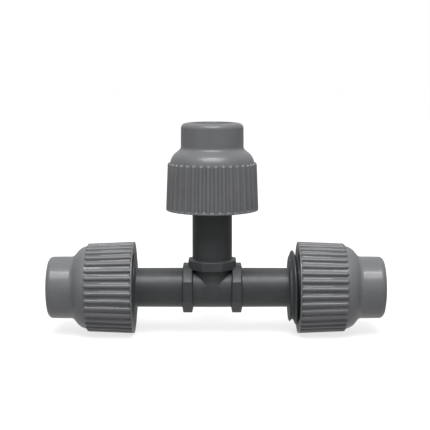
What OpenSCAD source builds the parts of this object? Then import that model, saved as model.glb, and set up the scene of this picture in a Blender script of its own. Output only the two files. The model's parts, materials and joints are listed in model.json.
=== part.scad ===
// Hand-tight compression tee for tube of 5/8 in outside diameter. Millimetres, +Z up.
// The origin is where the three tube centrelines meet: X is the run, Z the branch.
// Each outlet is drawn pointing along +Z from the origin, then turned onto its own axis.

/* [Tube] */
// Outside diameter of the tube that each outlet takes
tube_d = 15.88; // [15.6:0.02:16.1]
// Radial gap between the tube and its socket
tube_gap = 0.11; // [0.06:0.01:0.3]

/* [Tee body] */
// Outside diameter of the run and branch pipes
arm_d = 15.88; // [15.6:0.02:16.4]
// How much each pipe narrows from the centre to its collar
arm_draft = 0.2; // [0:0.1:0.8]
// Bore that the water runs through
waterway_d = 11.2; // [9:0.2:12]
// Centre of the tee to the back face of each threaded collar
collar_start = 30.7; // [28:0.1:33]
// Length of each threaded collar
collar_length = 16.3; // [15:0.1:18]
// Depth of each tube socket, mouth to tube stop
socket_depth = 12.8; // [11:0.1:13]
// Radius of the round gate pad on the front and back of the centre
pad_r = 3.4; // [2:0.1:5]

/* [Wrench rings] */
// Across flats of the octagonal wrench rings
ring_flats = 19.05; // [18:0.05:20]
// Centre of the tee to the near side of each ring, at its root
ring_start = 7.5; // [7:0.1:9]
// Width of each ring at its root
ring_width = 4.6; // [3:0.1:6]
// How much each side of a ring slopes in from root to flat
ring_draft = 0.5; // [0.1:0.1:1]

/* [Thread] */
// Pitch of the nut thread
thread_pitch = 3.175; // [2.5:0.005:3.5]
// Diameter over the thread crests of a collar
crest_d = 29.9; // [29.4:0.1:30.2]
// Diameter at the thread roots of a collar
root_d = 26; // [25:0.1:27]
// Radial gap between the crests and the nut
thread_gap = 0.3; // [0.2:0.05:0.6]

/* [Nut] */
// Rim to outer end of a nut
nut_length = 34.7; // [33:0.1:36]
// Diameter over the ribs at the rim
nut_rim_d = 36.8; // [36.6:0.1:38]
// How much the ribbed skirt narrows from the rim to the shoulder
skirt_draft = 1.3; // [0.4:0.1:1.4]
// Rim to the outer ends of the ribs
skirt_length = 18.9; // [17:0.1:19.5]
// Number of grip ribs
rib_count = 36; // [24:2:40]
// Height of a rib above the skirt
rib_height = 1; // [0.6:0.1:1.2]
// Width of a rib
rib_width = 1.5; // [1:0.1:1.8]
// Diameter of the neck that the tube enters
neck_d = 24.9; // [24.2:0.1:25.4]
// Rim to the start of the plain neck
neck_start = 25.4; // [25.2:0.1:27]

/* [Rest position] */
// Centre of the tee to the rim of the left nut
left_rim = 31.3; // [30.3:0.1:44]
// Centre of the tee to the rim of the right nut
right_rim = 34.4; // [30.3:0.1:44]
// Centre of the tee to the rim of the branch nut
branch_rim = 31.65; // [30.3:0.05:44]
// Degrees that the left nut is turned on its axis
left_turn = 7.8; // [0:0.1:10]
// Degrees that the right nut is turned on its axis
right_turn = 6.1; // [0:0.1:10]
// Degrees that the branch nut is turned on its axis
branch_turn = 0; // [0:0.1:10]

/* [Hidden] */
$fn = 96;
cut = 0.01;                                   // overshoot of a cut past a face
quarter_steps = 8;                            // points along a quarter round
mouth = collar_start + collar_length;         // collar's outer face
socket_r = tube_d / 2 + tube_gap;
stop = mouth - socket_depth;                  // tube stop
seat_depth = 3;                               // tapered seat for the cone seal
seat_r = 10.3;                                // seat's radius at the mouth
collar_back_r = 12.6;                         // back face, inside its chamfer
ridge_count = 5;                              // thread turns on a collar
ridge_half = 1.3;                             // half a ridge's width at the root
crest_half = 0.2;                             // half its width at the crest
branch_step = 0.04;                           // the branch is this much thinner than the run
nut_bore_r = crest_d / 2 + thread_gap;
// Inside the nut, measured from its rim
nut_shoulder = 17.4;                          // end of the thread bore
washer_seat = 17.8;                           // inner face of the thrust washer
washer_t = 1.6;
washer_r = 11.7;
ring_seat = washer_seat + washer_t + 0.1;     // inner face of the grip ring
ring_length = 8;
ring_wide_r = 11.4;
ring_narrow_r = 9.7;
part_gap = 0.25;                              // between the nut and what turns inside it
tooth_count = 4;
tooth_tip_r = socket_r + 0.2;                 // relaxed, so that a tube slides in
tooth_root_r = socket_r + 0.75;
split_angle = 14;                             // slot through the grip ring
washer_bore_r = socket_r + 0.3;
neck_bore_r = socket_r + 0.25;
seal_back = 0.9;                              // how far the seal stands out of the mouth
seal_nose = 2.6;                              // how far it reaches into the seat
seal_bore_r = tube_d / 2 - 0.09;
seal_gap = 0.05;

// Points of an arc about [x, y] from angle a0 to a1
function arc(x, y, r, a0, a1, n = quarter_steps) =
    [for (i = [0:n]) let (a = a0 + (a1 - a0) * i / n) [x + r * cos(a), y + r * sin(a)]];

module at_left() rotate([0, -90, 0]) children();
module at_right() rotate([0, 90, 0]) children();

module tee_body() color("#45484b") difference() {
    union() {
        rotate([0, 90, 0]) rotate_extrude() polygon(concat([[0, -mouth]], flipped(outlet_outline(arm_d / 2)),
            outlet_outline(arm_d / 2), [[0, mouth]]));
        rotate_extrude() polygon(concat([[0, 0]], outlet_outline(arm_d / 2 - branch_step), [[0, mouth]]));
        for (turn = [-90, 0, 90]) rotate([0, turn, 0]) wrench_ring();
        hub_pad();
        mirror([0, 1, 0]) hub_pad();
    }
    rotate([0, 90, 0]) cylinder(d = waterway_d, h = 2 * stop + cut, center = true);
    cylinder(d = waterway_d - branch_step, h = stop + cut);
    for (turn = [-90, 0, 90]) rotate([0, turn, 0]) socket();
}

// Outside of an outlet as [radius, distance] from the centre to its mouth, with one ridge a thread turn
function outlet_outline(centre_r) =
    let (root_r = root_d / 2, crest_r = crest_d / 2, first = collar_start + 1.6,
        ridge = [[root_r, -ridge_half], [crest_r, -crest_half], [crest_r, crest_half], [root_r, ridge_half]])
    concat([[centre_r, 0], [(arm_d - arm_draft) / 2, collar_start], [collar_back_r, collar_start],
        [root_r, collar_start + 0.2]],
        [for (i = [0:ridge_count - 1], p = ridge) [p[0], first + i * thread_pitch + p[1]]],
        [[root_r, mouth - 0.5], [root_r - 0.5, mouth]]);

// The same outline on the far side of the centre, without the point that the two share
function flipped(outline) = [for (i = [len(outline) - 1:-1:1]) [outline[i][0], -outline[i][1]]];

// Eight flats, with both sides sloping in from the root
module wrench_ring() {
    half = ring_flats / 2;
    root = ring_start + ring_width;
    intersection_for(turn = [0:45:135]) rotate([0, 0, turn])
        rotate([90, 0, 0]) linear_extrude(height = 3 * half, center = true)
            polygon([[-half, ring_start + ring_draft], [-half + 2.4, ring_start], [half - 2.4, ring_start],
                [half, ring_start + ring_draft], [half, root - ring_draft], [half - 2.4, root],
                [-half + 2.4, root], [-half, root - ring_draft]]);
}

// Where a tube goes in: a plain socket down to the tube stop, with a tapered seat at its mouth
module socket() {
    translate([0, 0, stop]) cylinder(r = socket_r, h = socket_depth + cut);
    translate([0, 0, mouth - seat_depth]) cylinder(r1 = socket_r, r2 = seat_r, h = seat_depth);
    translate([0, 0, mouth - cut]) cylinder(r = seat_r, h = 2 * cut);
}

module hub_pad() translate([0, -arm_d / 2 - 0.25, 0]) rotate([-90, 0, 0])
    cylinder(r = pad_r, h = 2);

// A nut with its rim at z = 0 and its neck upwards
module nut() difference() {
    union() {
        rotate_extrude() nut_outline();
        intersection() {
            linear_extrude(height = skirt_length + 0.5) rib_rows();
            rotate_extrude() rib_envelope();
        }
    }
    rotate_extrude() nut_inside();
}

// Outside of the nut without its ribs: rim band, skirt, domed shoulder, neck and rounded end
module nut_outline() {
    rim_r = nut_rim_d / 2;
    skirt_r = rim_r - rib_height;
    top_r = skirt_r - skirt_draft / 2;
    neck_r = neck_d / 2;
    inner = neck_bore_r - 2;
    dome_r = 6;
    foot_r = 2;
    end_round = 2;
    polygon(concat(
        [[inner, 0], [rim_r - 0.2, 0], [rim_r, 0.2], [rim_r, 0.5], [skirt_r, 1], [top_r, skirt_length - 1]],
        arc(top_r - dome_r, skirt_length - 0.8, dome_r, 5, 56),
        arc(neck_r + foot_r, neck_start, foot_r, 236, 180, 4),
        arc(neck_r - end_round, nut_length - end_round - 0.35, end_round, 0, 65),
        [[neck_bore_r + 0.8, nut_length], [inner, nut_length]]));
}

// Rows of ribs seen along the nut, on a disc that stays inside the skirt
module rib_rows() {
    crest_r = nut_rim_d / 2;
    circle(r = nut_bore_r + 0.9);
    for (i = [0:rib_count - 1]) rotate((i + 0.5) * 360 / rib_count)
        translate([crest_r - rib_width / 2, 0]) {
            circle(d = rib_width);
            translate([-rib_width, 0]) square([2 * rib_width, rib_width], center = true);
        }
}

// What the ribs are trimmed to: a slight taper and a rounded outer end
module rib_envelope() {
    start = 0.4;
    crest_r = nut_rim_d / 2;
    end_r = crest_r - skirt_draft / 2;
    polygon(concat(
        [[nut_bore_r + 0.6, start], [crest_r - 0.02, start]],
        arc(end_r - 1.2, skirt_length - 1, 1.2, 2, 90, 5),
        [[nut_bore_r + 0.6, skirt_length + 0.2]]));
}

// Thread bore, washer pocket, taper for the grip ring, and the hole that the tube enters
module nut_inside() {
    pocket_r = washer_r + part_gap;
    mouth_flare = 2;
    taper_start = ring_seat;
    taper_end = ring_seat + ring_length;
    polygon([[0, -cut], [nut_bore_r + mouth_flare, -cut], [nut_bore_r, mouth_flare],
        [nut_bore_r, nut_shoulder - 1], [nut_bore_r - 1, nut_shoulder],
        [pocket_r, nut_shoulder], [pocket_r, taper_start],
        [ring_wide_r + part_gap, taper_start], [ring_narrow_r + part_gap, taper_end + part_gap],
        [neck_bore_r, taper_end + 1.4], [neck_bore_r, nut_length - 0.8],
        [neck_bore_r + 0.8, nut_length + cut], [0, nut_length + cut]]);
}

// Split ring, tapered outside and toothed inside, with its wide end at z = 0
module grip_ring() {
    tooth_pitch = ring_length / tooth_count;
    rotate_extrude(angle = 360 - split_angle) polygon(concat(
        [for (i = [0:tooth_count - 1], p = [[tooth_root_r, 0.2], [tooth_tip_r, tooth_pitch - 0.4],
            [tooth_tip_r, tooth_pitch - 0.2]]) [p[0], i * tooth_pitch + p[1]]],
        [[tooth_root_r, ring_length], [ring_narrow_r - 0.3, ring_length], [ring_narrow_r, ring_length - 0.3],
            [ring_wide_r, 0.4], [ring_wide_r - 0.4, 0], [tooth_root_r, 0]]));
}

module thrust_washer() rotate_extrude() polygon([[washer_bore_r, 0], [washer_r - 0.3, 0],
    [washer_r, 0.3], [washer_r, washer_t - 0.3], [washer_r - 0.3, washer_t], [washer_bore_r, washer_t]]);

// Rubber cone in the mouth of a socket, along the outlet's own axis
module cone_seal() {
    slope = (seat_r - socket_r) / seat_depth;
    nose_r = seat_r - slope * seal_nose - seal_gap;
    rotate_extrude() polygon([[seal_bore_r, mouth - seal_nose], [nose_r, mouth - seal_nose],
        [seat_r - seal_gap, mouth], [seat_r - seal_gap, mouth + seal_back - 0.3],
        [seat_r - seal_gap - 0.3, mouth + seal_back], [seal_bore_r, mouth + seal_back]]);
}

module nut_at(rim, turn) color("#6c6e70") translate([0, 0, rim]) rotate(turn) nut();
module grip_ring_at(rim) color("#d9d6cb") translate([0, 0, rim + ring_seat]) grip_ring();
module washer_at(rim) color("#c9c7bd") translate([0, 0, rim + washer_seat]) thrust_washer();

module left_nut() at_left() nut_at(left_rim, left_turn);
module left_grip_ring() at_left() grip_ring_at(left_rim);
module left_thrust_washer() at_left() washer_at(left_rim);
module left_cone_seal() color("#1c1c1d") at_left() cone_seal();
module right_nut() at_right() nut_at(right_rim, right_turn);
module right_grip_ring() at_right() grip_ring_at(right_rim);
module right_thrust_washer() at_right() washer_at(right_rim);
module right_cone_seal() color("#1c1c1d") at_right() cone_seal();
module branch_nut() nut_at(branch_rim, branch_turn);
module branch_grip_ring() grip_ring_at(branch_rim);
module branch_thrust_washer() washer_at(branch_rim);
module branch_cone_seal() color("#1c1c1d") cone_seal();

tee_body();
left_nut();
left_grip_ring();
left_thrust_washer();
left_cone_seal();
right_nut();
right_grip_ring();
right_thrust_washer();
right_cone_seal();
branch_nut();
branch_grip_ring();
branch_thrust_washer();
branch_cone_seal();
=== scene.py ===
"""Looks of a hand-tight compression tee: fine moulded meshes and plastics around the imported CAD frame.

Outlets are built along their own +Z, in metres, and then turned onto the left, right or branch axis.
"""

import json
import math

import bmesh
import bpy
import numpy as np
from mathutils import Matrix, Vector


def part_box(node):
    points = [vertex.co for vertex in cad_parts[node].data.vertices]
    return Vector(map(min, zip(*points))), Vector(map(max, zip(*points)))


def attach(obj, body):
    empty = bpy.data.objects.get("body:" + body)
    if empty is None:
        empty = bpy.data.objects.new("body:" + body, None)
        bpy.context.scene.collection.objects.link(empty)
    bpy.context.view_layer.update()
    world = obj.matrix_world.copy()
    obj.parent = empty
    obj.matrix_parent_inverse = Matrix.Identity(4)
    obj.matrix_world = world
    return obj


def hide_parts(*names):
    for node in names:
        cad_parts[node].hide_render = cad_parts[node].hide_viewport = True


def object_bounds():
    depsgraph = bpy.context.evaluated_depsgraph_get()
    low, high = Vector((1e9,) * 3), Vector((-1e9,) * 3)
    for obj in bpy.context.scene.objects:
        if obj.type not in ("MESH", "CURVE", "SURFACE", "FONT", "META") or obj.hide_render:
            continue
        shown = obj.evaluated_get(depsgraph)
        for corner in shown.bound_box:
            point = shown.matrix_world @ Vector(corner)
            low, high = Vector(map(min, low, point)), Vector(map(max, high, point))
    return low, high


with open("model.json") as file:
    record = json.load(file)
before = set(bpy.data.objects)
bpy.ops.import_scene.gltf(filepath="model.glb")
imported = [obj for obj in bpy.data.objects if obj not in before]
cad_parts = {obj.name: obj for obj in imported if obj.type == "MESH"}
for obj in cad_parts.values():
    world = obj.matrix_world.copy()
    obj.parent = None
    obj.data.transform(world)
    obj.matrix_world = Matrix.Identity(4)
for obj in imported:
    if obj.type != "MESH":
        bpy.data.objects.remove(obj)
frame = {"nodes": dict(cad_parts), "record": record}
cad_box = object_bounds()
record = frame["record"]

MM = 0.001
TURN = 2 * math.pi

# ---------------------------------------------------------------- places, read from the frame

OUTLETS = ("left", "right", "branch")
TO_AXIS = {
    "left": Matrix.Rotation(-math.pi / 2, 4, "Y"),
    "right": Matrix.Rotation(math.pi / 2, 4, "Y"),
    "branch": Matrix.Identity(4),
}
RIM = {
    "left": -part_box("left_nut")[1].x,
    "right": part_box("right_nut")[0].x,
    "branch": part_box("branch_nut")[0].z,
}
NUT_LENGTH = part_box("branch_nut")[1].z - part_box("branch_nut")[0].z
NUT_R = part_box("branch_nut")[1].y
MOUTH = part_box("tee_body")[1].x
MOUNTS = {m["name"]: m for m in record["mounts"]}
SOCKET = MOUNTS["branch_tube_socket"]
SOCKET_R = SOCKET["dims"]["r_mm"] * MM
STOP = SOCKET["pos_m"][2] - SOCKET["dims"]["length_mm"] * MM / 2
SEAT = STOP + SOCKET["dims"]["length_mm"] * MM
RING_HALF = -MOUNTS["front_wrench_flat"]["pos_m"][1]
RING_MIDDLE = -MOUNTS["front_wrench_flat"]["pos_m"][0]
PITCH = record["behaviour"]["couplings"][0]["ratio"] * TURN
FLOOR_Z = cad_box[0][2]

# ---------------------------------------------------------------- sizes of the fine meshes

ARM_R = 7.94 * MM
ARM_TIP_R = 7.84 * MM
BRANCH_LESS = 0.02 * MM        # off the branch's radii, so that its faces never coincide with the run's
SEAM_ANGLES = (0.0, math.pi)   # where the mould's parting line runs along each outlet
SEAM_HEIGHT = 0.07 * MM
SEAM_HALF_WIDTH = math.radians(0.6)
RING_SIDES = 8
RING_HALF_WIDTH = 2.3 * MM
RING_DRAFT = 0.5 * MM
RING_SOFTNESS = 0.28 * MM
PAD_R = 3.4 * MM
PAD_RISE = 0.14 * MM
PAD_EDGE = 0.12 * MM

COLLAR_START = 30.7 * MM
COLLAR_BACK_R = 12.7 * MM
COLLAR_EDGE = 0.3 * MM
COLLAR_FOOT = 0.6 * MM
COLLAR_CHAMFER = 0.6 * MM
CORE_START = COLLAR_START + 0.5 * MM
CORE_R = 12.85 * MM            # the collar under its thread
CREST_R = 14.95 * MM
CREST_HALF_WIDTH = 0.12 * MM
RIDGE_HALF_WIDTH = 1.38 * MM
CREST_ON_TOP = 32.2 * MM       # where the right outlet's first crest stands uppermost
FIRST_CREST = CREST_ON_TOP - PITCH / 2      # where the same crest stands undermost, which is angle 0
THREAD_STEP = 0.09 * MM

WATERWAY_R = 5.6 * MM
STOP_CHAMFER = 0.4 * MM
SEAT_R = 10.3 * MM

# Heights on a nut are measured from its rim
RIBS = 36
RIB_HEIGHT = 1.0 * MM
RIB_HALF_WIDTH = 0.8 * MM
RIB_END = 18.9 * MM
SKIRT_R = NUT_R - RIB_HEIGHT
SKIRT_DRAFT = 0.65 * MM        # how much the skirt's radius falls from the rim to the shoulder
SHOULDER_R = SKIRT_R - SKIRT_DRAFT
SKIRT_START = 1.3 * MM
SHOULDER_START = RIB_END - 1.3 * MM
RIM_EDGE = 0.2 * MM
RIM_BAND = 0.45 * MM           # where the plain band round the rim ends
DOME_R = 6.0 * MM
DOME_START = RIB_END - 0.8 * MM
NECK_FOOT = 2.0 * MM
NECK_R = 12.45 * MM
NECK_START = 25.4 * MM
NECK_DRAFT = 0.06 * MM
NECK_END_ROUND = 2.0 * MM
NECK_BORE_R = SOCKET_R + 0.25 * MM
NECK_BORE_START = 29.0 * MM
TAPER = ((9.95 * MM, 27.75 * MM), (11.65 * MM, 19.5 * MM))     # two ends of the cone round the grip ring
POCKET_R = 11.95 * MM
POCKET_START = 17.4 * MM
POCKET_END = 19.45 * MM
NUT_BORE_R = 15.25 * MM
NUT_THREAD_DEPTH = 1.75 * MM
NUT_THREAD_END = 15.8 * MM
NUT_THREAD_FADE = 1.2 * MM
MOUTH_FLARE = 2.0 * MM
NUT_TURN = {"left": 7.8, "right": 6.1, "branch": 0.0}   # degrees that each nut is turned on its axis


def smooth(x):
    """0 below 0, 1 above 1, with a smooth rise between."""
    x = np.clip(x, 0.0, 1.0)
    return x * x * (3 - 2 * x)


def arc(x, y, r, a0, a1, n):
    """n + 1 points of an arc about (x, y), from a0 to a1 degrees."""
    a = np.radians(np.linspace(a0, a1, n + 1))
    return [(x + r * math.cos(t), y + r * math.sin(t)) for t in a]


def resample(points, step):
    """The same outline with no stretch longer than step."""
    out = [points[0]]
    for a, b in zip(points, points[1:]):
        n = max(1, math.ceil(math.dist(a, b) / step))
        out += [(a[0] + (b[0] - a[0]) * i / n, a[1] + (b[1] - a[1]) * i / n) for i in range(1, n + 1)]
    return out


def new_object(name, verts, faces):
    mesh = bpy.data.meshes.new(name)
    mesh.from_pydata([tuple(v) for v in verts], [], faces)
    mesh.validate()
    obj = bpy.data.objects.new(name, mesh)
    bpy.context.scene.collection.objects.link(obj)
    return obj


def lathe(name, outline, angles, relief=None, ring=False):
    """Turns an outline of (radius, height) about Z.

    relief(radius, height, angle) returns the radius to use instead.
    ring joins the outline's end to its start, as for a nut; otherwise flat caps close the two ends.
    """
    rz = np.array(outline)
    rows, columns = len(rz), len(angles)
    r = np.repeat(rz[:, :1], columns, 1)
    z = np.repeat(rz[:, 1:], columns, 1)
    a = np.repeat(angles[None], rows, 0)
    radius = r if relief is None else relief(r, z, a)
    verts = np.stack([radius * np.cos(a), radius * np.sin(a), z], -1).reshape(-1, 3)
    faces = []
    for i in range(rows if ring else rows - 1):
        k = (i + 1) % rows
        for j in range(columns):
            m = (j + 1) % columns
            faces.append((i * columns + j, i * columns + m, k * columns + m, k * columns + j))
    if not ring:
        faces.append(tuple(range(columns - 1, -1, -1)))
        faces.append(tuple((rows - 1) * columns + j for j in range(columns)))
    return new_object(name, verts, faces)


def tidy_normals(obj, sharp_angle=32):
    """Outward faces, smooth shading, and crisp edges where faces meet at more than sharp_angle degrees."""
    bm = bmesh.new()
    bm.from_mesh(obj.data)
    bmesh.ops.recalc_face_normals(bm, faces=bm.faces)
    bm.to_mesh(obj.data)
    bm.free()
    obj.data.shade_smooth()
    obj.data.set_sharp_from_angle(angle=math.radians(sharp_angle))


def apply_modifiers(obj):
    bpy.context.view_layer.update()
    done = bpy.data.meshes.new_from_object(obj.evaluated_get(bpy.context.evaluated_depsgraph_get()))
    obj.modifiers.clear()
    old, obj.data = obj.data, done
    bpy.data.meshes.remove(old)


def combine(obj, others, operation):
    """Adds or cuts the other closed solids, which are used up."""
    for other in others:
        cutter = obj.modifiers.new("solid", "BOOLEAN")
        cutter.operation = operation
        cutter.solver = "MANIFOLD"
        cutter.object = other
        apply_modifiers(obj)
        bpy.data.objects.remove(other)


def soften_edges(obj, width):
    soft = obj.modifiers.new("soft edges", "BEVEL")
    soft.width = width
    soft.segments = 3
    soft.limit_method = "ANGLE"
    soft.angle_limit = math.radians(20)
    apply_modifiers(obj)


# ---------------------------------------------------------------- the tee body

def even_angles(count):
    return np.linspace(0, TURN, count, endpoint=False)


def outside_angles():
    """Even angles, with closer ones beside each mould seam so that its ridge has a shape."""
    beside = [s + math.radians(d) for s in SEAM_ANGLES for d in (-1.2, -0.7, -0.35, 0.35, 0.7, 1.2)]
    return np.unique(np.round(np.concatenate([even_angles(240), np.mod(beside, TURN)]), 6))


def seam_ridge(a):
    """A mould's parting line: a low ridge at each seam's angle."""
    total = 0 * a
    for s in SEAM_ANGLES:
        off = np.abs((a - s + math.pi) % TURN - math.pi)
        total += SEAM_HEIGHT * np.clip(1 - off / SEAM_HALF_WIDTH, 0, 1)
    return total


def thread_ridge(z, a):
    """0 to 1 across a right-hand ridge."""
    phase = (z - FIRST_CREST) / PITCH - a / TURN
    off = np.abs(phase - np.round(phase)) * PITCH
    return smooth((RIDGE_HALF_WIDTH - off) / (RIDGE_HALF_WIDTH - CREST_HALF_WIDTH))


def outlet_outline():
    """Outside of an outlet from the centre to its mouth, without the thread."""
    pipe_end = COLLAR_START - COLLAR_FOOT
    pipe = [(ARM_R, 0.0), (ARM_TIP_R, pipe_end)]
    foot = arc(ARM_TIP_R + COLLAR_FOOT, pipe_end, COLLAR_FOOT, 180, 90, 4)
    back = arc(COLLAR_BACK_R - COLLAR_EDGE, COLLAR_START + COLLAR_EDGE, COLLAR_EDGE, -90, 0, 3)
    core = [(CORE_R, CORE_START), (CORE_R, MOUTH - COLLAR_CHAMFER)]
    end = [(CORE_R - 0.45 * MM, MOUTH)]
    return resample(pipe, 2 * MM) + foot[1:] + back + resample(core, THREAD_STEP) + end


def outlet_relief(r, z, a):
    """The thread on the collar, fading at both ends, and the parting line along the outlet."""
    z = np.abs(z)
    rise = smooth((z - COLLAR_START + 0.5 * MM) / (1.6 * MM))
    fall = smooth((MOUTH - 0.2 * MM - z) / (1.4 * MM))
    thread = (CREST_R - CORE_R) * thread_ridge(z, a) * rise * fall
    on_collar = (z > COLLAR_START - 1e-9) & (r > COLLAR_BACK_R - COLLAR_EDGE - 0.1 * MM)
    return r + np.where(on_collar, thread, 0) + seam_ridge(a)


def run_relief(r, z, a):
    """Right outlet, and the left one as the same shape turned half round the depth axis."""
    return outlet_relief(r, z, np.where(z < 0, math.pi - a, a))


def wrench_ring(turn):
    """An octagonal ring round one pipe: flats to the front, with both sides sloping in to them."""
    start = RING_MIDDLE - RING_HALF_WIDTH
    end = RING_MIDDLE + RING_HALF_WIDTH
    inside = ARM_R * 0.9
    flats = [(inside, start), (RING_HALF, start + RING_DRAFT), (RING_HALF, end - RING_DRAFT), (inside, end)]
    corners = [(half / math.cos(math.pi / RING_SIDES), z) for half, z in flats]
    ring = lathe("ring", corners, (np.arange(RING_SIDES) + 0.5) * TURN / RING_SIDES)
    soften_edges(ring, RING_SOFTNESS)
    ring.data.transform(turn)
    return ring


def gate_pad(side):
    """The low round pad on the front or back of the centre."""
    inside = ARM_R * 0.75
    shoulder = ARM_R + PAD_RISE - PAD_EDGE
    outline = [(PAD_R, inside)] + arc(PAD_R - PAD_EDGE, shoulder, PAD_EDGE, 0, 90, 4)
    pad = lathe("pad", outline, even_angles(96))
    pad.data.transform(Matrix.Rotation(side * math.pi / 2, 4, "X"))
    return pad


def socket_outline():
    """Inside of an outlet from the centre to just past its mouth: waterway, tube stop, socket and seat."""
    past = 0.3 * MM
    stop = [(WATERWAY_R, STOP - STOP_CHAMFER), (WATERWAY_R + STOP_CHAMFER, STOP), (SOCKET_R, STOP)]
    seat = [(SOCKET_R, SEAT), (SEAT_R, MOUTH), (SEAT_R + past, MOUTH + past)]
    return [(WATERWAY_R, 0.0)] + stop + seat


def both_ways(outline):
    """An outline from the centre outwards, joined to its mirror image on the far side."""
    return [(r, -z) for r, z in reversed(outline[1:])] + outline


def make_tee_body():
    run = lathe("tee_moulding", both_ways(outlet_outline()), outside_angles(), run_relief)
    run.data.transform(TO_AXIS["right"])
    branch_outline = [(r - (BRANCH_LESS if z < COLLAR_START / 2 else 0), z) for r, z in outlet_outline()]
    branch = lathe("branch", branch_outline, outside_angles(), outlet_relief)
    rings = [wrench_ring(TO_AXIS[o]) for o in OUTLETS]
    combine(run, [branch] + rings + [gate_pad(1), gate_pad(-1)], "UNION")
    run_inside = lathe("run_inside", both_ways(socket_outline()), even_angles(128))
    run_inside.data.transform(TO_AXIS["right"])
    branch_socket = [(r - BRANCH_LESS, z) for r, z in socket_outline()]
    branch_inside = lathe("branch_inside", branch_socket, even_angles(128))
    combine(run, [run_inside, branch_inside], "DIFFERENCE")
    tidy_normals(run)
    return run


# ---------------------------------------------------------------- the nuts

def nut_outline():
    """All round a nut's wall from its rim at height 0: outside, then back down the inside."""
    top = NUT_LENGTH
    rim = arc(NUT_R - RIM_EDGE, RIM_EDGE, RIM_EDGE, -90, 0, 3)
    past_band = (SKIRT_R + 0.25 * MM, RIM_BAND + 0.3 * MM)
    band = [(NUT_R, 0.3 * MM), (NUT_R, RIM_BAND), past_band, (SKIRT_R, 1.0 * MM)]
    skirt = [(SKIRT_R, SKIRT_START), (SHOULDER_R, SHOULDER_START)]
    rib_tips = [(SHOULDER_R, RIB_END - 1.1 * MM), (SHOULDER_R, RIB_END - 0.6 * MM)]
    dome = arc(SHOULDER_R - DOME_R, DOME_START, DOME_R, 3, 56, 18)
    neck_foot = arc(NECK_R + NECK_FOOT, NECK_START, NECK_FOOT, 236, 180, 9)
    neck_end_r = NECK_R - NECK_DRAFT
    neck = [(NECK_R, 28 * MM), (NECK_R - NECK_DRAFT / 2, 30 * MM), (neck_end_r, top - 2.3 * MM)]
    neck_end = arc(neck_end_r - NECK_END_ROUND, top - 2.2 * MM, NECK_END_ROUND, 0, 68, 10)
    end_face = [(10.4 * MM, top - 0.16 * MM), (9.7 * MM, top - 0.06 * MM)]
    bore_lip = arc(NECK_BORE_R + 0.7 * MM, top - 0.5 * MM, 0.5 * MM, 80, 180, 6)
    outside = (
        [(NUT_BORE_R + MOUTH_FLARE, 0.0)]
        + rim
        + resample(band, 0.1 * MM)
        + resample(skirt, 0.8 * MM)
        + resample(rib_tips, 0.1 * MM)
        + resample(dome, 0.2 * MM)
        + neck_foot
        + neck
        + neck_end
        + end_face
        + bore_lip
    )
    neck_bore = [(NECK_BORE_R, top - 1.2 * MM), (NECK_BORE_R, NECK_BORE_START)]
    pocket = [(POCKET_R, POCKET_END), (POCKET_R, POCKET_START), (14.0 * MM, POCKET_START)]
    runout = [(NUT_BORE_R, NUT_THREAD_END + 0.6 * MM)]
    thread = [(NUT_BORE_R, NUT_THREAD_END), (NUT_BORE_R, MOUTH_FLARE)]
    return outside + neck_bore + list(TAPER) + pocket + runout + resample(thread, 0.12 * MM)


def nut_relief(rim, turn):
    """Ribs outside and the thread inside, in step with the thread on the collar."""
    spacing = TURN / RIBS

    def relief(r, z, a):
        across = (((a - turn) / spacing) % 1 - 0.5) * spacing * r / RIB_HALF_WIDTH
        past = np.clip((z - RIB_END + RIB_HALF_WIDTH) / RIB_HALF_WIDTH, 0, None)
        crest = RIB_HEIGHT * np.sqrt(np.clip(1 - across ** 2 - past ** 2, 0, None))
        floor = SKIRT_R - SKIRT_DRAFT * np.clip((z - SKIRT_START) / (SHOULDER_START - SKIRT_START), 0, 1)
        skirt = (r > SHOULDER_R - 0.3 * MM) & (z > RIM_BAND - 0.05 * MM) & (z < RIB_END + 0.1 * MM)
        ribbed = np.where(skirt, np.maximum(r, floor + crest), r)
        rise = smooth((z - MOUTH_FLARE) / NUT_THREAD_FADE)
        fall = smooth((NUT_THREAD_END + 0.1 * MM - z) / NUT_THREAD_FADE)
        ridge = NUT_THREAD_DEPTH * (1 - thread_ridge(z + rim, a)) * rise * fall
        bore = np.abs(r - NUT_BORE_R) < 0.02 * MM
        return ribbed - np.where(bore, ridge, 0)
    return relief


def rib_angles(turn):
    """Angles round a nut, closest together on the flanks of each rib."""
    steps = np.array([0, 0.24, 0.46, 0.62, 0.72, 0.79, 1.1]) * MM / SKIRT_R
    one_rib = np.concatenate([-steps[:0:-1], steps, [TURN / RIBS / 2]])
    return np.concatenate([turn + (k + 0.5) * TURN / RIBS + one_rib for k in range(RIBS)])


def make_nut(outlet):
    turn = math.radians(NUT_TURN[outlet])
    relief = nut_relief(RIM[outlet], turn)
    nut = lathe(f"{outlet}_nut_moulding", nut_outline(), rib_angles(turn), relief, ring=True)
    nut.data.transform(TO_AXIS[outlet] @ Matrix.Translation((0, 0, RIM[outlet])))
    tidy_normals(nut, 40)
    return nut


# ---------------------------------------------------------------- materials

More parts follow.
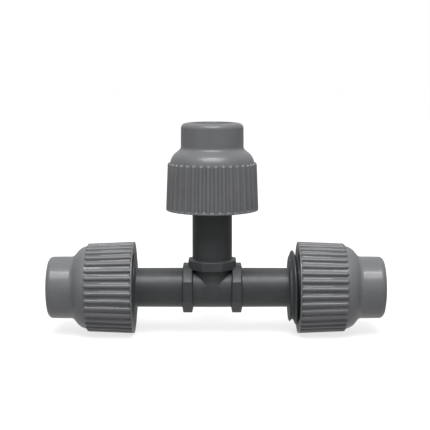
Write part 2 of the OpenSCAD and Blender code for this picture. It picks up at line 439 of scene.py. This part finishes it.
class Shader:
    """A material's node tree, with short calls for the nodes that the plastics share."""

    def __init__(self, name):
        self.material = bpy.data.materials.new(name)
        self.material.use_nodes = True
        self.tree = self.material.node_tree
        self.surface = self.tree.nodes["Principled BSDF"]
        self.place = self.tree.nodes.new("ShaderNodeTexCoord").outputs["Object"]

    def link(self, out, into):
        self.tree.links.new(out, into)

    def noise(self, size, detail=3.0, roughness=0.55, stretch=(1, 1, 1)):
        """Noise whose features are about size metres across."""
        mapping = self.tree.nodes.new("ShaderNodeMapping")
        mapping.inputs["Scale"].default_value = [k / size for k in stretch]
        self.link(self.place, mapping.inputs["Vector"])
        noise = self.tree.nodes.new("ShaderNodeTexNoise")
        noise.inputs["Scale"].default_value = 1.0
        noise.inputs["Detail"].default_value = detail
        noise.inputs["Roughness"].default_value = roughness
        self.link(mapping.outputs["Vector"], noise.inputs["Vector"])
        return noise.outputs["Fac"]

    def span(self, value, low, high, to_low, to_high):
        """Maps low..high to to_low..to_high, held at the ends."""
        node = self.tree.nodes.new("ShaderNodeMapRange")
        for key, number in zip(("From Min", "From Max", "To Min", "To Max"), (low, high, to_low, to_high)):
            node.inputs[key].default_value = number
        self.link(value, node.inputs["Value"])
        return node.outputs["Result"]

    def mix(self, factor, a, b):
        """A colour between a and b; each is a colour or another node's output."""
        node = self.tree.nodes.new("ShaderNodeMix")
        node.data_type = "RGBA"
        for key, colour in (("A", a), ("B", b)):
            socket = [s for s in node.inputs if s.name == key and s.type == "RGBA"][0]
            if isinstance(colour, (tuple, list)):
                socket.default_value = (*colour, 1.0)
            else:
                self.link(colour, socket)
        self.link(factor, node.inputs["Factor"])
        return [s for s in node.outputs if s.type == "RGBA"][0]

    def bump(self, height, depth, below=None):
        node = self.tree.nodes.new("ShaderNodeBump")
        node.inputs["Strength"].default_value = 1.0
        node.inputs["Distance"].default_value = depth
        self.link(height, node.inputs["Height"])
        if below is not None:
            self.link(below, node.inputs["Normal"])
        return node.outputs["Normal"]


def moulded(name, colour, gloss, worn, coat, texture=1.0):
    """Satin moulded plastic under a glossier skin.

    It has faint clouding, smears, orange peel, fine grain and edges rubbed lighter.
    """
    s = Shader(name)
    clouds = s.span(s.noise(9 * MM, 4), 0.3, 0.7, 0.0, 1.0)
    dark = tuple(c * 0.93 for c in colour)
    light = tuple(min(1.0, c * 1.08) for c in colour)
    body = s.mix(clouds, dark, light)
    edge = s.tree.nodes.new("ShaderNodeNewGeometry").outputs["Pointiness"]
    rubbed = s.span(edge, 0.52, 0.62, 0.0, worn)
    pale = tuple(min(1.0, c * 1.6 + 0.02) for c in colour)
    s.link(s.mix(rubbed, body, pale), s.surface.inputs["Base Color"])
    smears = s.noise(5 * MM, 3, 0.6, (1, 1.6, 1.6))
    s.link(s.span(smears, 0.3, 0.7, gloss - 0.05, gloss + 0.07), s.surface.inputs["Roughness"])
    peel = s.bump(s.noise(0.9 * MM, 2), 0.012 * MM * texture)
    grain = s.bump(s.noise(0.16 * MM, 2), 0.006 * MM * texture, peel)
    s.link(grain, s.surface.inputs["Normal"])
    s.surface.inputs["IOR"].default_value = 1.48
    s.surface.inputs["Coat Weight"].default_value = coat
    s.surface.inputs["Coat Roughness"].default_value = 0.13
    return s.material


def rubber(name):
    """Matt black rubber with a dusty bloom."""
    s = Shader(name)
    bloom = s.span(s.noise(1.5 * MM, 5, 0.65), 0.45, 0.75, 0.0, 1.0)
    s.link(s.mix(bloom, (0.010, 0.010, 0.011), (0.028, 0.028, 0.029)), s.surface.inputs["Base Color"])
    s.link(s.span(bloom, 0.0, 1.0, 0.55, 0.8), s.surface.inputs["Roughness"])
    s.link(s.bump(s.noise(0.25 * MM, 3), 0.01 * MM), s.surface.inputs["Normal"])
    return s.material


def paint(obj, material):
    obj.data.materials.clear()
    obj.data.materials.append(material)


BODY_PLASTIC = moulded("charcoal_acetal", (0.050, 0.055, 0.057), 0.45, 0.12, 0.1)
NUT_PLASTIC = moulded("grey_acetal", (0.158, 0.161, 0.169), 0.38, 0.18, 0.32)
RING_PLASTIC = moulded("natural_acetal", (0.70, 0.68, 0.60), 0.42, 0.05, 0.0, 1.5)
WASHER_PLASTIC = moulded("washer_acetal", (0.60, 0.58, 0.51), 0.45, 0.05, 0.0, 1.5)
SEAL_RUBBER = rubber("seal_rubber")

# ---------------------------------------------------------------- pieces on their bodies

tee_body = make_tee_body()
paint(tee_body, BODY_PLASTIC)
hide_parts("tee_body")
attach(tee_body, "tee")

INNER_PARTS = {"grip_ring": RING_PLASTIC, "thrust_washer": WASHER_PLASTIC, "cone_seal": SEAL_RUBBER}

for outlet in OUTLETS:
    nut = make_nut(outlet)
    paint(nut, NUT_PLASTIC)
    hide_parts(f"{outlet}_nut")
    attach(nut, f"{outlet}_nut")
    for part, material in INNER_PARTS.items():
        node = frame["nodes"][f"{outlet}_{part}"]
        for slot in node.material_slots:
            slot.material = material

# ---------------------------------------------------------------- floor, light and camera

FLOOR_R = 6.0
FLOOR_THICKNESS = 2 * MM
LENS = 91.0
CAMERA_AT = (1.1 * MM, -430.8 * MM, 88.0 * MM)
CAMERA_ABOVE_LEVEL = 7.74      # degrees

# The surround's brightness is a sum of ramps: each has an axis, its two ends on it and its brightness at them
STUDIO_TONES = (
    ("Z", -0.1, 0.3, 0.18, 0.45),
    ("Z", 0.3, 1.0, 0.0, 0.25),
    ("Z", -0.1, -0.9, 0.0, 0.48),
    ("Y", 0.0, 1.0, 0.0, 0.10),
)


def stage_material():
    s = Shader("white_paper")
    tone = s.span(s.noise(60 * MM, 2), 0.3, 0.7, 0.0, 1.0)
    s.link(s.mix(tone, (0.40, 0.40, 0.40), (0.42, 0.42, 0.42)), s.surface.inputs["Base Color"])
    s.surface.inputs["Roughness"].default_value = 0.9
    s.surface.inputs["Emission Color"].default_value = (1, 1, 1, 1)
    s.surface.inputs["Emission Strength"].default_value = 0.72
    return s.material


def make_floor():
    cap_r = 0.4
    below = FLOOR_Z - FLOOR_THICKNESS
    outline = [(cap_r, below), (FLOOR_R, below), (FLOOR_R, FLOOR_Z), (cap_r, FLOOR_Z)]
    floor = lathe("floor", outline, even_angles(64))
    floor.data.materials.append(stage_material())
    floor.visible_diffuse = False
    floor.visible_glossy = False


def soft_box(name, at, towards, size, power):
    light = bpy.data.lights.new(name, "AREA")
    light.shape = "RECTANGLE"
    light.size, light.size_y = size
    light.energy = power
    obj = bpy.data.objects.new(name, light)
    obj.location = at
    obj.rotation_euler = (Vector(towards) - Vector(at)).to_track_quat("-Z", "Y").to_euler()
    bpy.context.scene.collection.objects.link(obj)


def make_studio():
    """A surround of soft tones that only the plastic sees; the camera sees plain white."""
    world = bpy.data.worlds.new("studio")
    world.use_nodes = True
    nodes, links = world.node_tree.nodes, world.node_tree.links
    around = nodes["Background"]
    axes = nodes.new("ShaderNodeSeparateXYZ")
    links.new(nodes.new("ShaderNodeTexCoord").outputs["Generated"], axes.inputs[0])
    tone = None
    for axis, start, end, low, high in STUDIO_TONES:
        part = nodes.new("ShaderNodeMapRange")
        part.interpolation_type = "SMOOTHSTEP"
        for key, number in zip(("From Min", "From Max", "To Min", "To Max"), (start, end, low, high)):
            part.inputs[key].default_value = number
        links.new(axes.outputs[axis], part.inputs["Value"])
        if tone is None:
            tone = part.outputs["Result"]
        else:
            both = nodes.new("ShaderNodeMath")
            links.new(tone, both.inputs[0])
            links.new(part.outputs["Result"], both.inputs[1])
            tone = both.outputs[0]
    links.new(tone, around.inputs["Strength"])
    around.inputs["Color"].default_value = (1, 1, 1, 1)
    backdrop = nodes.new("ShaderNodeBackground")
    backdrop.inputs["Color"].default_value = (1, 1, 1, 1)
    seen = nodes.new("ShaderNodeMixShader")
    links.new(nodes.new("ShaderNodeLightPath").outputs["Is Camera Ray"], seen.inputs["Fac"])
    links.new(around.outputs[0], seen.inputs[1])
    links.new(backdrop.outputs[0], seen.inputs[2])
    links.new(seen.outputs[0], nodes["World Output"].inputs["Surface"])
    bpy.context.scene.world = world


def make_light():
    make_studio()
    middle = (0, 0, 20 * MM)
    soft_box("strip", at=(0, -0.36, 0.93), towards=middle, size=(0.9, 0.10), power=3.2)
    soft_box("key", at=(0, -0.6, 0.92), towards=middle, size=(0.8, 0.45), power=6.6)
    bpy.context.scene.view_settings.view_transform = "Standard"


def make_camera():
    """A little above level, at arm's length, with a long lens."""
    camera = bpy.data.cameras.new("camera")
    camera.lens = LENS
    camera.sensor_width = 36
    camera.clip_start = 0.01
    obj = bpy.data.objects.new("camera", camera)
    obj.location = CAMERA_AT
    obj.rotation_euler = (math.radians(90 - CAMERA_ABOVE_LEVEL), 0, 0)
    bpy.context.scene.collection.objects.link(obj)
    bpy.context.scene.camera = obj


make_floor()
make_light()
make_camera()
